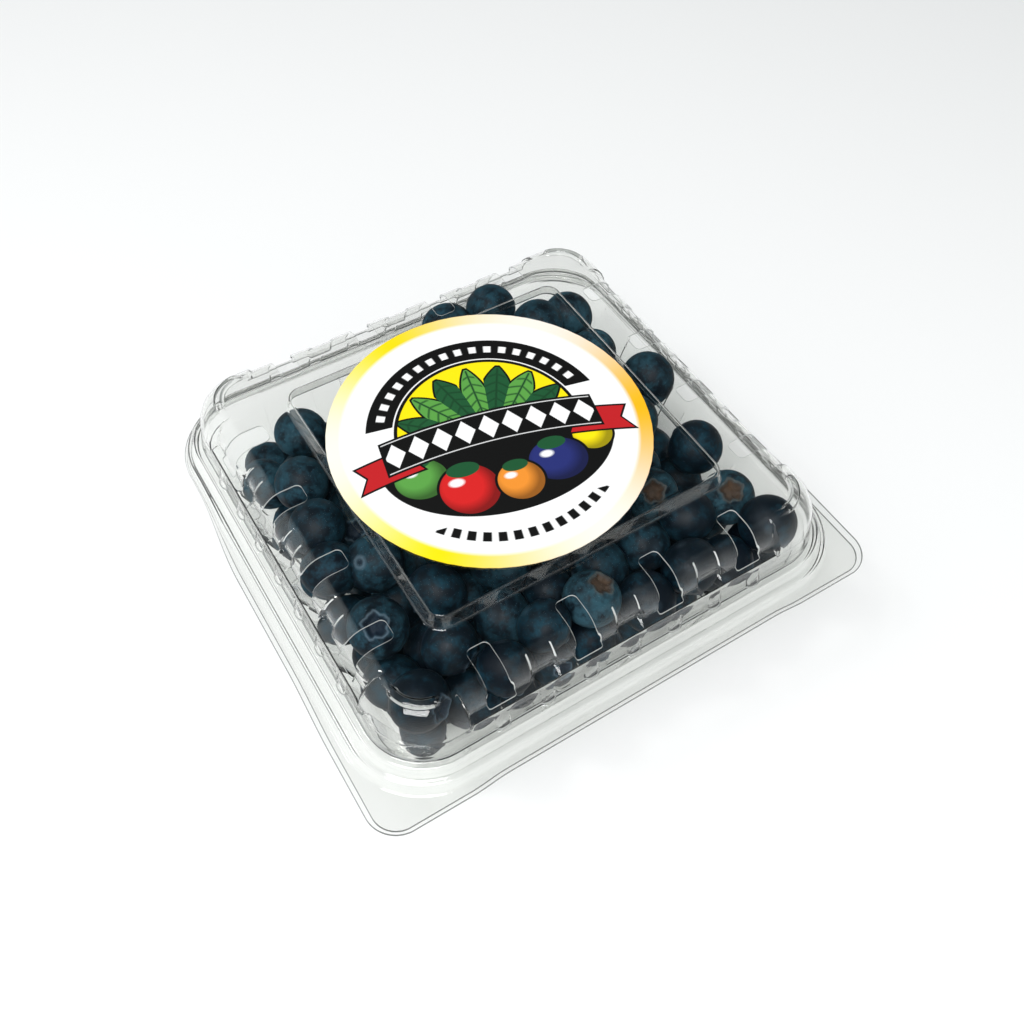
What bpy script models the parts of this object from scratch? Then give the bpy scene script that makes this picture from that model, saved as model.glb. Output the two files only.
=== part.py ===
"""Punnet of blueberries: a low square clear clamshell with a hinged vented lid, a round paper
label stuck on the lid's raised panel, and the heap of berries inside.

Metres, Z up. The pack stands on its tub's floor. X runs along the front (opening) edge from
left to right, Y from the front edge to the hinge at the back.
"""

import math

import bmesh
import bpy

MM = 0.001

# ---- driving sizes, in millimetres --------------------------------------------------------
PACK_HEIGHT = 45.0          # floor of the tub to the top of the lid's raised panel
SHEET = 0.8                 # wall of the formed sheet, thicker here than the real 0.4
NEST_GAP = 0.3              # between lid and tub where they nest
CENTRE_Y = 1.35             # centre of the formed walls, from the middle of the outline
DEPTH_LESS = 2.04           # the pack is this much less from centre to front than to the side

PANEL_HALF_X = 35.6         # raised square panel in the middle of the lid
PANEL_HALF_Y = 34.1
PANEL_RISE = 3.66
PANEL_DRAFT = 0.9
PANEL_CORNER = 3.0

SHOULDER_START = 47.0       # where the flat lid top starts to roll over, from the centre
PAD_ROUND = 5.6             # roll-over radius at the pads round the vent slots
RECESS_ROUND = 4.5          # roll-over radius in the recesses between the pads
CORNER_ROUND = 7.5          # roll-over radius at the four corners
CORNER_CENTRE = 42.1        # centre of the corner curves, from the centre
LEDGE_DROP = 9.6            # narrow ledge at the pads' feet, below the raised panel
RING_TOP = 54.4             # ring wall of the lid, top and foot
RING_TOP_DROP = 10.5
RING_FOOT = 55.4
RING_FOOT_DROP = 15.95

FLANGE_DROP = 21.1          # top of the lid's flange, below the raised panel
FLANGE_START = 60.4
FLANGE_EDGE = 62.5
TAB_REACH = 0.5             # finger tabs at the two front corners stand out this much more
TAB_CORNER = 7.0
HINGE_EDGE = 60.3           # the back edge, where lid and tub meet

SLOT_PITCH_X = 20.4         # four vent slots a side
SLOT_PITCH_Y = 19.2
SLOT_WIDTH = 5.0
SLOT_INNER = 42.9
SLOT_OUTER = 53.4
SLOT_DEPTH = 11.7
PAD_HALF = 7.0              # half the width of a lid pad
TUB_PAD_HALF = 5.4          # half the width of a tub pleat
STEP_RUN = 0.7              # how far a step between pad and recess takes to run out

CRESCENT_RADIUS = 9.0       # raised crescent on each corner, for stacking
CRESCENT_WIDTH = 2.0
CRESCENT_HEIGHT = 1.0

TUB_WALL_TOP = 54.0
TUB_WALL_FOOT = 46.0
TUB_PLEAT = 0.9
FLOOR_THICK_DROP = 41.0     # where the tub's wall turns into the floor
FLOOR_EDGE = 43.0
FLOOR_PANEL = 30.0          # middle of the floor, pressed up a little
FLOOR_PANEL_RISE = 1.6
FLOOR_VENT = (14.0, 4.0)

LABEL_RADIUS = 35.7
LABEL_X = -1.8
LABEL_Y = 1.25
LABEL_THICK = 0.2

BERRY = 13.6                # usual berry
HEAP_GAP = 0.5              # heap to the sheet round it

TOP_Z = PACK_HEIGHT


def z_of(drop):
    """Height above the ground of something this far below the raised panel."""
    return TOP_Z - drop


# ---- the rounded outline that every level of the pack follows --------------------------------
def side_stations(pitch, half, run):
    """Places along one side where the wall steps between corner, pad and recess."""
    places = []
    for k in (-1.5, -0.5, 0.5, 1.5):
        left, right = k * pitch - half, k * pitch + half
        places += [left - run, left, right, right + run]
    return places


def wall_kind(along, pitch, half, run):
    """0 in a recess, 1 on a pad, 2 at a corner."""
    end = 1.5 * pitch + half
    if abs(along) > end + 0.5 * run:
        return 2
    near = min(abs(along - k * pitch) for k in (-1.5, -0.5, 0.5, 1.5))
    return 1 if near <= half + 0.5 * run else 0


CORNER_STEPS = 5


def stations(half_pad, run=STEP_RUN):
    """One entry per place round the pack: side, place along it (or corner angle), and kind."""
    found = []
    for side, (pitch, centre) in enumerate(
        (
            (SLOT_PITCH_X, CORNER_CENTRE),
            (SLOT_PITCH_Y, CORNER_CENTRE - DEPTH_LESS),
            (SLOT_PITCH_X, CORNER_CENTRE),
            (SLOT_PITCH_Y, CORNER_CENTRE - DEPTH_LESS),
        )
    ):
        for along in side_stations(pitch, half_pad, run):
            found.append(("side", side, along, wall_kind(along, pitch, half_pad, run)))
        for i in range(CORNER_STEPS + 1):
            found.append(("corner", side, i / CORNER_STEPS, 2))
    return found


def outline_point(station, reach, corner_x=None, corner_y=None, lift=0.0):
    """Plan position of a station when the wall is this far out from the centre."""
    cx = CORNER_CENTRE if corner_x is None else corner_x
    cy = CORNER_CENTRE - DEPTH_LESS if corner_y is None else corner_y
    reach_y = reach - DEPTH_LESS + lift
    kind, side, at, _ = station
    if kind == "side":
        full = CORNER_CENTRE if side % 2 == 0 else CORNER_CENTRE - DEPTH_LESS
        scaled = at * (cx if side % 2 == 0 else cy) / full
        return {
            0: (scaled, -reach_y),
            1: (reach, scaled),
            2: (-scaled, reach_y),
            3: (-reach, -scaled),
        }[side]
    turn = math.radians(-90 + 90 * side + 90 * at)
    sx = 1 if side in (0, 1) else -1
    sy = -1 if side in (0, 3) else 1
    return (
        sx * cx + (reach - cx) * math.cos(turn),
        sy * cy + (reach_y - cy) * math.sin(turn),
    )


def flange_point(station, inset, tabs):
    """Outer edge of a flange: wide at the front and sides, square tabs at the front corners,
    and drawn in to the hinge at the back."""
    kind, side, at, _ = station
    edge = FLANGE_EDGE - inset
    if kind == "corner" and side in (0, 3):
        out_x = edge + tabs
        out_y = edge - DEPTH_LESS + tabs
        turn = math.radians(-90 + 90 * side + 90 * at)
        sx = 1 if side == 0 else -1
        return (
            sx * (out_x - TAB_CORNER) + TAB_CORNER * math.cos(turn),
            -(out_y - TAB_CORNER) + TAB_CORNER * math.sin(turn),
        )
    if kind == "corner":
        return outline_point(station, HINGE_EDGE - inset)
    x, y = outline_point(station, edge)
    if side == 2:
        return outline_point(station, HINGE_EDGE - inset)
    if side in (1, 3):
        drawn_in = min(max((y - 8.0) / 28.0, 0.0), 1.0)
        drawn_in = drawn_in * drawn_in * (3 - 2 * drawn_in)
        x = math.copysign(edge - (FLANGE_EDGE - HINGE_EDGE) * drawn_in, x)
        forward = min(max((-y - 18.0) / 20.0, 0.0), 1.0)
        x += math.copysign(tabs * forward, x)
    return (x, y)


# ---- profiles: (reach from the centre, drop below the raised panel) --------------------------
def lid_profile(kind):
    """Upper side of the lid from the panel's edge out to the flange, for one kind of wall."""
    radius = {0: RECESS_ROUND, 1: PAD_ROUND, 2: CORNER_ROUND}[kind]
    points = []
    for angle in (90, 62, 34, 8):
        turn = math.radians(angle)
        points.append(
            (
                SHOULDER_START + radius * math.cos(turn),
                PANEL_RISE + radius - radius * math.sin(turn),
            )
        )
    if kind == 2:
        points.append((RING_TOP + 0.05, RING_TOP_DROP + 0.9))
        points.append((RING_TOP + 0.15, RING_TOP_DROP + 2.0))
    else:
        points.append((SHOULDER_START + radius, LEDGE_DROP))
        points.append((RING_TOP, RING_TOP_DROP))
    points += [
        (RING_FOOT, RING_FOOT_DROP),
        (RING_FOOT + 1.6, RING_FOOT_DROP + 0.15),
        (RING_FOOT + 2.8, RING_FOOT_DROP + 2.6),
        (RING_FOOT + 3.9, RING_FOOT_DROP + 2.8),
        (FLANGE_START, FLANGE_DROP - 0.05),
    ]
    return points


def tub_profile(kind):
    """Upper side of the tub from the flange in over the bead and down the wall."""
    nest = SHEET + NEST_GAP
    pleat = TUB_PLEAT if kind == 1 else 0.0
    corner = 0.35 if kind == 2 else 0.0
    return [
        (FLANGE_START - 0.75, FLANGE_DROP + nest - 0.05),
        (RING_FOOT + 3.25, RING_FOOT_DROP + 2.8 + nest),
        (RING_FOOT + 2.15, RING_FOOT_DROP + 2.6 + nest),
        (RING_FOOT + 1.0, RING_FOOT_DROP + 0.25 + nest),
        (RING_FOOT - 0.7, RING_FOOT_DROP + 0.3 + nest),
        (TUB_WALL_TOP + corner, RING_FOOT_DROP + 1.6 + nest),
        (TUB_WALL_TOP - 1.7 + pleat + corner, RING_FOOT_DROP + 4.6 + nest),
        (TUB_WALL_FOOT + pleat + corner, FLOOR_THICK_DROP),
        (FLOOR_EDGE + 0.4 * pleat, FLOOR_THICK_DROP + 2.6),
    ]


def offset_profile(points, distance):
    """The same profile moved sideways by the sheet's thickness, with mitred corners."""
    moved = []
    for i, (s, d) in enumerate(points):
        normals = []
        for a, b in ((i - 1, i), (i, i + 1)):
            if 0 <= a and b < len(points):
                ds = points[b][0] - points[a][0]
                dd = points[b][1] - points[a][1]
                length = math.hypot(ds, dd)
                normals.append((-dd / length, ds / length))
        ns = sum(n[0] for n in normals)
        nd = sum(n[1] for n in normals)
        scale = 2.0 if len(normals) == 2 else 1.0
        size = (ns * ns + nd * nd) / scale
        moved.append((s + distance * ns / size, d + distance * nd / size))
    return moved


def material(name, colour, roughness, transmission=0.0, alpha=1.0):
    made = bpy.data.materials.new(name)
    made.use_nodes = True
    shader = made.node_tree.nodes["Principled BSDF"]
    shader.inputs["Base Color"].default_value = (*colour, 1.0)
    shader.inputs["Roughness"].default_value = roughness
    shader.inputs["Transmission Weight"].default_value = transmission
    shader.inputs["Alpha"].default_value = alpha
    made.diffuse_color = (*colour, alpha)
    return made


def solid_from_loops(name, loops, centre_first, centre_last, surface):
    """Closed body from a stack of loops with the same number of points, ended by two centres."""
    mesh = bmesh.new()
    rows = []
    for loop in loops:
        rows.append([mesh.verts.new((x * MM, (y + CENTRE_Y) * MM, z * MM)) for x, y, z in loop])
    first = mesh.verts.new((centre_first[0] * MM, (centre_first[1] + CENTRE_Y) * MM, centre_first[2] * MM))
    last = mesh.verts.new((centre_last[0] * MM, (centre_last[1] + CENTRE_Y) * MM, centre_last[2] * MM))
    count = len(rows[0])
    for i in range(count):
        j = (i + 1) % count
        mesh.faces.new((first, rows[0][i], rows[0][j]))
        mesh.faces.new((last, rows[-1][j], rows[-1][i]))
        for lower, upper in zip(rows, rows[1:]):
            mesh.faces.new((lower[i], upper[i], upper[j], lower[j]))
    bmesh.ops.recalc_face_normals(mesh, faces=mesh.faces)
    data = bpy.data.meshes.new(name)
    mesh.to_mesh(data)
    mesh.free()
    data.materials.append(surface)
    made = bpy.data.objects.new(name, data)
    bpy.context.scene.collection.objects.link(made)
    return made


def cutter_from_boxes(name, boxes):
    """One hidden mesh of separate boxes with clipped corners, each (x, y, half x, half y, z0, z1)."""
    mesh = bmesh.new()
    for x, y, hx, hy, z0, z1 in boxes:
        clip = 0.3 * min(hx, hy)
        ring = [
            (-hx + clip, -hy), (hx - clip, -hy), (hx, -hy + clip), (hx, hy - clip),
            (hx - clip, hy), (-hx + clip, hy), (-hx, hy - clip), (-hx, -hy + clip),
        ]
        low = [mesh.verts.new(((x + a) * MM, (y + b + CENTRE_Y) * MM, z0 * MM)) for a, b in ring]
        high = [mesh.verts.new(((x + a) * MM, (y + b + CENTRE_Y) * MM, z1 * MM)) for a, b in ring]
        mesh.faces.new(low[::-1])
        mesh.faces.new(high)
        for i in range(8):
            j = (i + 1) % 8
            mesh.faces.new((low[i], low[j], high[j], high[i]))
    data = bpy.data.meshes.new(name)
    mesh.to_mesh(data)
    mesh.free()
    made = bpy.data.objects.new(name, data)
    bpy.context.scene.collection.objects.link(made)
    made.hide_render = True
    made.display_type = "WIRE"
    return made


def boolean(target, tool, operation):
    step = target.modifiers.new(tool.name, "BOOLEAN")
    step.operation = operation
    step.solver = "EXACT"
    step.object = tool


# ---- lid --------------------------------------------------------------------------------------
def build_lid(surface):
    places = stations(PAD_HALF)
    upper = []
    lower = []
    nest_x = PANEL_HALF_X - PANEL_CORNER
    nest_y = PANEL_HALF_Y - PANEL_CORNER

    def panel_loop(grow, drop):
        loop = []
        for place in places:
            x, y = outline_point(
                place, PANEL_HALF_X + grow, nest_x, nest_y,
                lift=DEPTH_LESS - (PANEL_HALF_X - PANEL_HALF_Y),
            )
            loop.append((x, y, z_of(drop)))
        return loop

    upper.append(panel_loop(0.0, 0.0))
    upper.append(panel_loop(PANEL_DRAFT, PANEL_RISE))
    lower.append(panel_loop(-SHEET * 0.8, SHEET))
    lower.append(panel_loop(PANEL_DRAFT - SHEET * 0.8, PANEL_RISE + SHEET))

    profiles = {kind: lid_profile(kind) for kind in (0, 1, 2)}
    inner = {kind: offset_profile(profiles[kind], SHEET) for kind in profiles}
    for level in range(len(profiles[0])):
        top_loop = []
        low_loop = []
        for place in places:
            s, d = profiles[place[3]][level]
            top_loop.append((*outline_point(place, s), z_of(d)))
            s, d = inner[place[3]][level]
            low_loop.append((*outline_point(place, s), z_of(d)))
        upper.append(top_loop)
        lower.append(low_loop)
    upper.append([(*flange_point(p, 0.0, TAB_REACH), z_of(FLANGE_DROP)) for p in places])
    lower.append([(*flange_point(p, 0.0, TAB_REACH), z_of(FLANGE_DROP + SHEET)) for p in places])
    lid = solid_from_loops(
        "lid", upper + lower[::-1], (0, 0, z_of(0)), (0, 0, z_of(SHEET)), surface
    )

    slots = []
    for k in (-1.5, -0.5, 0.5, 1.5):
        half_run = (SLOT_OUTER - SLOT_INNER) / 2
        mid = (SLOT_OUTER + SLOT_INNER) / 2
        z0, z1 = z_of(SLOT_DEPTH), z_of(PANEL_RISE - 1.0)
        for sign in (-1, 1):
            slots.append((k * SLOT_PITCH_X, sign * (mid - DEPTH_LESS), SLOT_WIDTH / 2, half_run, z0, z1))
            slots.append((sign * mid, k * SLOT_PITCH_Y, half_run, SLOT_WIDTH / 2, z0, z1))
    boolean(lid, cutter_from_boxes("slot_cutters", slots), "DIFFERENCE")
    boolean(lid, build_crescents(), "UNION")
    return lid


def build_crescents():
    """Four low curved ribs, one on each corner's roll-over."""
    mesh = bmesh.new()
    steps = 8
    for sx, sy in ((1, -1), (1, 1), (-1, 1), (-1, -1)):
        rows = []
        for i in range(steps + 1):
            turn = math.radians(4 + 82 * i / steps)
            taper = math.sin(math.pi * min(max(i / steps, 0.06), 0.94)) ** 0.35
            across = CRESCENT_WIDTH / 2 * taper
            row = []
            for shift, drop in (
                (-across, PANEL_RISE + 0.55),
                (-0.75 * across, PANEL_RISE - 0.12 * CRESCENT_HEIGHT),
                (0.55 * across, PANEL_RISE + 0.15 * CRESCENT_HEIGHT),
                (across, PANEL_RISE + 2.35),
                (0.2 * across, PANEL_RISE + 1.35),
            ):
                radius = CRESCENT_RADIUS + shift
                x = sx * (CORNER_CENTRE + radius * math.cos(turn))
                y = sy * (CORNER_CENTRE - DEPTH_LESS + radius * math.sin(turn))
                row.append(mesh.verts.new((x * MM, (y + CENTRE_Y) * MM, z_of(drop) * MM)))
            rows.append(row)
        mesh.faces.new(rows[0])
        mesh.faces.new(rows[-1][::-1])
        for a, b in zip(rows, rows[1:]):
            for i in range(5):
                j = (i + 1) % 5
                mesh.faces.new((a[i], b[i], b[j], a[j]))
    bmesh.ops.recalc_face_normals(mesh, faces=mesh.faces)
    data = bpy.data.meshes.new("crescents")
    mesh.to_mesh(data)
    mesh.free()
    made = bpy.data.objects.new("crescents", data)
    bpy.context.scene.collection.objects.link(made)
    made.hide_render = True
    made.display_type = "WIRE"
    return made


# ---- tub --------------------------------------------------------------------------------------
def build_tub(surface):
    places = stations(TUB_PAD_HALF)
    profiles = {kind: tub_profile(kind) for kind in (0, 1, 2)}
    outer = {kind: offset_profile(profiles[kind], -SHEET) for kind in profiles}
    flange_drop = FLANGE_DROP + SHEET + NEST_GAP
    upper = [[(*flange_point(p, 0.5, TAB_REACH), z_of(flange_drop)) for p in places]]
    lower = [[(*flange_point(p, 0.5, TAB_REACH), z_of(flange_drop + SHEET)) for p in places]]
    for level in range(len(profiles[0])):
        top_loop = []
        low_loop = []
        for place in places:
            s, d = profiles[place[3]][level]
            top_loop.append((*outline_point(place, s), z_of(d)))
            s, d = outer[place[3]][level]
            low_loop.append((*outline_point(place, s), z_of(d)))
        upper.append(top_loop)
        lower.append(low_loop)

    def floor_loop(reach, height):
        corner = reach - 4.0
        return [
            (*outline_point(p, reach, corner, corner - DEPTH_LESS), height) for p in places
        ]

    upper.append(floor_loop(FLOOR_EDGE - 2.6, SHEET))
    lower.append(floor_loop(FLOOR_EDGE - 2.4, 0.0))
    upper.append(floor_loop(FLOOR_PANEL + 1.0, SHEET))
    lower.append(floor_loop(FLOOR_PANEL + 0.6, 0.0))
    upper.append(floor_loop(FLOOR_PANEL, SHEET + FLOOR_PANEL_RISE))
    lower.append(floor_loop(FLOOR_PANEL - 0.4, FLOOR_PANEL_RISE))
    tub = solid_from_loops(
        "base_tub",
        upper[::-1] + lower,
        (0, 0, SHEET + FLOOR_PANEL_RISE),
        (0, 0, FLOOR_PANEL_RISE),
        surface,
    )
    vents = []
    for sx in (-1, 1):
        for sy in (-1, 1):
            vents.append((sx * 14.0, sy * 12.0, FLOOR_VENT[0] / 2, FLOOR_VENT[1] / 2, -2.0, 5.0))
    boolean(tub, cutter_from_boxes("floor_vent_cutters", vents), "DIFFERENCE")
    return tub


# ---- label ------------------------------------------------------------------------------------
def build_label(surface):
    mesh = bmesh.new()
    bottom = z_of(0) + 0.05
    rings = []
    for z in (bottom, bottom + LABEL_THICK):
        rings.append(
            [
                mesh.verts.new(
                    (
                        (LABEL_X + LABEL_RADIUS * math.cos(2 * math.pi * i / 64)) * MM,
                        (LABEL_Y + CENTRE_Y + LABEL_RADIUS * math.sin(2 * math.pi * i / 64)) * MM,
                        z * MM,
                    )
                )
                for i in range(64)
            ]
        )
    mesh.faces.new(rings[0][::-1])
    mesh.faces.new(rings[1])
    for i in range(64):
        j = (i + 1) % 64
        mesh.faces.new((rings[0][i], rings[0][j], rings[1][j], rings[1][i]))
    data = bpy.data.meshes.new("label")
    mesh.to_mesh(data)
    mesh.free()
    data.materials.append(surface)
    made = bpy.data.objects.new("label", data)
    bpy.context.scene.collection.objects.link(made)
    return made


# ---- heap of berries --------------------------------------------------------------------------
# The berries that show round the label: x, y and height of the centre, and radius.
SHOWN = (
    (-34, 34, 29, 6.5), (-41, 18, 32, 6.5), (-47, 27, 26, 6.0), (-43, 4, 34, 6.5),
    (-48, 11, 26, 5.5), (-38, -10, 34, 6.5), (-35, 4, 26, 6.0), (-45, 0, 23, 6.0),
    (-50, -15, 28, 5.5), (-37, -15, 23, 6.5), (-44, -25, 33, 6.5), (-44, -42, 33, 6.5),
    (-38, -44, 24, 6.0), (-29, -23, 33, 6.5), (-27, -45, 30, 6.0), (-32, -35, 32, 6.5),
    (-2, -41, 33, 6.5), (21, -43, 30, 6.5), (9, -46, 30, 6.5), (28, -33, 31, 6.5),
    (43, -44, 31, 6.5), (42, -32, 28, 6.5), (43, -18, 31, 6.5), (28, -22, 26, 6.5),
    (-14, -41, 34, 6.0), (-13, -44, 23, 5.0), (-18, -32, 28, 6.5), (24, 43, 34, 6.5),
    (31, 33, 34, 6.5), (42, 35, 29, 6.5), (41, 22, 28, 6.5), (47, 6, 30, 7.0),
    (41, -5, 31, 6.5), (11, 43, 34, 6.5),
)


def heap_level(x, y):
    """Height of the heap's berries: full to the front left, lower behind and at the right."""
    low_back = max(0.0, (y - 0.62 * x - 24.0)) * 0.42
    low_right = max(0.0, x - 30.0) * 0.30
    return z_of(5.6) - low_back - low_right


def covered_rows():
    """The rest of the top layer, in staggered rows under the label."""
    found = []
    for row in range(-3, 5):
        for col in range(-4, 5):
            x = 13.4 * col + 6.7 * (row % 2) + 0.9 * math.sin(4.1 * row + 2.3 * col)
            y = 11.7 * row + 0.9 * math.sin(2.7 * row - 5.2 * col)
            radius = 6.6 + 0.4 * math.sin(3.3 * row + 4.7 * col)
            height = heap_level(x, y) - radius - 0.6 + 0.5 * math.sin(1.9 * row + 3.1 * col)
            place = (x, y, height)
            clear = all(math.dist(place, shown[:3]) > radius + shown[3] - 1.0 for shown in SHOWN)
            if clear and abs(x) < 47 and abs(y) < 44 and height > 21:
                found.append((*place, radius))
    return found


TOP_LAYER = SHOWN + tuple(covered_rows())


def heap_top(x, y):
    """Upper face of the heap: the berries of the top layer, with the next layer between them."""
    best = heap_level(x, y) - 0.85 * BERRY
    for bx, by, height, radius in TOP_LAYER:
        reach = radius * radius - (x - bx) ** 2 - (y - by) ** 2
        if reach > 0:
            best = max(best, height + math.sqrt(reach))
    return best


def build_heap(surface):
    count = 72
    rings = 12
    mesh = bmesh.new()
    nest = HEAP_GAP
    ceiling = z_of(PANEL_RISE + SHEET + 0.45)

    def rim(i, reach):
        """Point of a square with rounded corners, of this reach to the side."""
        turn = 2 * math.pi * i / count
        c, s = math.cos(turn), math.sin(turn)
        half_x, half_y = reach, reach - DEPTH_LESS * min(1.0, reach / 20.0)
        corner = 0.24 * reach
        size = min(half_x / max(abs(c), 1e-9), half_y / max(abs(s), 1e-9))
        x, y = size * abs(c), size * abs(s)
        kx, ky = half_x - corner, half_y - corner
        if x > kx and y > ky:
            along = kx * abs(c) + ky * abs(s)
            size = along + math.sqrt(along * along - kx * kx - ky * ky + corner * corner)
        return size * c, size * s

    def ceiling_at(x, y):
        """Underside of the lid, less the gap."""
        over = max(abs(x) - SHOULDER_START + 0.5, abs(y) + DEPTH_LESS - SHOULDER_START + 0.5, 0.0)
        inner_round = RECESS_ROUND - SHEET - 0.2
        over = min(over, inner_round)
        return ceiling - (inner_round - math.sqrt(inner_round * inner_round - over * over))

    slope = (TUB_WALL_TOP - 1.7 - TUB_WALL_FOOT) / (FLOOR_THICK_DROP - RING_FOOT_DROP - 5.7)

    def wall_at(z):
        """How far out the heap may go at this height inside the tub's sloping wall."""
        return TUB_WALL_FOOT - nest - 0.4 + slope * (z - z_of(FLOOR_THICK_DROP))

    def face_at(i, reach):
        x, y = rim(i, reach)
        return min(heap_top(x, y), ceiling_at(x, y))

    full = TUB_WALL_TOP - 4.4
    widest = []
    for i in range(count):
        reach = full
        while wall_at(face_at(i, reach)) < reach:
            reach -= 0.25
        widest.append(reach)
    loops = []
    for k in range(1, rings + 1):
        loops.append([(*rim(i, widest[i] * k / rings), face_at(i, widest[i] * k / rings)) for i in range(count)])
    edge = loops[-1]
    for share in (0.45, 0.92):
        low = SHEET + 3.6
        loop = []
        for i in range(count):
            z_edge = edge[i][2]
            z = z_edge + (low - z_edge) * share
            x, y = rim(i, min(widest[i], wall_at(z)))
            loop.append((x, y, z))
        loops.append(loop)
    loops.append([(*rim(i, FLOOR_EDGE - 2.4), SHEET + FLOOR_PANEL_RISE + nest) for i in range(count)])
    rows = [
        [mesh.verts.new((x * MM, (y + CENTRE_Y) * MM, z * MM)) for x, y, z in loop] for loop in loops
    ]
    top = mesh.verts.new((0, CENTRE_Y * MM, heap_top(0, 0) * MM))
    bottom = mesh.verts.new((0, CENTRE_Y * MM, (SHEET + FLOOR_PANEL_RISE + nest) * MM))
    for i in range(count):
        j = (i + 1) % count
        mesh.faces.new((top, rows[0][i], rows[0][j]))
        mesh.faces.new((bottom, rows[-1][j], rows[-1][i]))
        for a, b in zip(rows, rows[1:]):
            mesh.faces.new((a[i], b[i], b[j], a[j]))
    bmesh.ops.recalc_face_normals(mesh, faces=mesh.faces)
    data = bpy.data.meshes.new("berries")
    mesh.to_mesh(data)
    mesh.free()
    data.materials.append(surface)
    made = bpy.data.objects.new("berries", data)
    bpy.context.scene.collection.objects.link(made)
    return made


def main():
    for old in list(bpy.data.objects):
        bpy.data.objects.remove(old, do_unlink=True)
    clear_tub = material("clear_sheet_tub", (0.90, 0.93, 0.91), 0.06, alpha=0.35)
    clear_lid = material("clear_sheet_lid", (0.92, 0.94, 0.93), 0.06, alpha=0.35)
    paper = material("paper_label", (0.95, 0.95, 0.93), 0.35)
    skin = material("berry_skin", (0.05, 0.09, 0.17), 0.5)
    build_tub(clear_tub)
    build_heap(skin)
    build_lid(clear_lid)
    build_label(paper)


main()
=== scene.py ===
"""Punnet of blueberries, dressed: clear formed lid and tub, printed paper label, loose berries.

Metres, Z up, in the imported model's frame. Sizes below are in millimetres.
"""

import math

import bpy
import numpy as np
from mathutils import Matrix

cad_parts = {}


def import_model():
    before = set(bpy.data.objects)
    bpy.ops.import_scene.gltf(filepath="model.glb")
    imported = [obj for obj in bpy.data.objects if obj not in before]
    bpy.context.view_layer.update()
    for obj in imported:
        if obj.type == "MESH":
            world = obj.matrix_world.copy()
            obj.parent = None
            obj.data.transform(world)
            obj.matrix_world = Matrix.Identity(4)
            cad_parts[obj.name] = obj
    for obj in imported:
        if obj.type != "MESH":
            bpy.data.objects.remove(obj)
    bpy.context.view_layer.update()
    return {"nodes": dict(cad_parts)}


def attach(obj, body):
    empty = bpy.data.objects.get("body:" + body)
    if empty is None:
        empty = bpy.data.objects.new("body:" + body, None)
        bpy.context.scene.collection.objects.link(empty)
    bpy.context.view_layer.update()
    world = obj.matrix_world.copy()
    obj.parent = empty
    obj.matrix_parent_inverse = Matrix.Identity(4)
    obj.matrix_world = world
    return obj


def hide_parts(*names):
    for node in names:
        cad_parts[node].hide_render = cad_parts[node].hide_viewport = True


MM = 0.001
FULL_TURN = 2 * math.pi

# ---- the pack's driving sizes, the same as the solids' -----------------------------------------
PACK_HEIGHT = 45.0
FILM = 0.35                 # real thickness of the formed sheet
CENTRE_Y = 1.35
DEPTH_LESS = 2.04

PANEL_HALF_X = 35.6
PANEL_HALF_Y = 34.1
PANEL_RISE = 3.66
PANEL_DRAFT = 0.9
PANEL_CORNER = 3.0

SHOULDER_START = 47.0
PAD_ROUND = 5.6
RECESS_ROUND = 4.5
CORNER_ROUND = 7.5
CORNER_CENTRE = 42.1
LEDGE_DROP = 9.6
RING_TOP = 54.4
RING_TOP_DROP = 10.5
RING_FOOT = 55.4
RING_FOOT_DROP = 15.95

FLANGE_DROP = 21.1
FLANGE_START = 60.4
FLANGE_EDGE = 62.5
TAB_REACH = 0.5
TAB_CORNER = 7.0
HINGE_EDGE = 60.3

SLOT_PITCH_X = 20.4
SLOT_PITCH_Y = 19.2
SLOT_HALF = 2.5
SLOT_INNER = 42.9
SLOT_OUTER = 53.4
PAD_HALF = 7.0
TUB_PAD_HALF = 5.4
STEP_RUN = 0.9

NUB_LENGTH = 3.2            # half-round nubs on the ring wall
NUB_PROUD = 0.6
NUB_PITCH_X = 10.5
NUB_PITCH_Y = 9.9

CRESCENT_RADIUS = 6.9
CRESCENT_HALF = 1.0
CRESCENT_HEIGHT = 0.9
# degrees above level where the rounded corner has its rows: close at the crescent's two flanks
CORNER_ROWS = (
    90, 88, 86, 85, 84, 83.2, 82.4, 81.6, 80.8, 80, 79, 77, 74, 71.5,
    70, 69.1, 68.3, 67.5, 66.7, 65.9, 65, 63.5, 58, 46, 32, 16, 0,
)

TUB_WALL_TOP = 54.0
TUB_WALL_FOOT = 46.0
TUB_PLEAT = 0.9
PAINTED_RIM_LINE = 0.13             # width of the painted dark line along the sheet's cut edge
TUB_INSET = 1.3             # tub's flange inside the lid's
TUB_UNDER_LID = 1.1         # tub's upper face below the lid's where they nest
FLOOR_THICK_DROP = 41.0
FLOOR_EDGE = 43.0
FLOOR_PANEL = 30.0
FLOOR_PANEL_RISE = 1.6

LABEL_X = -1.8
LABEL_Y = 1.25
LABEL_RADIUS = 35.7
LABEL_TURN = math.radians(13.0)

BERRY = 13.6


def z_of(drop):
    return PACK_HEIGHT - drop


def ease(value):
    """0 to 1 with a soft start and end."""
    value = np.clip(value, 0.0, 1.0)
    return value * value * (3 - 2 * value)


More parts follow.
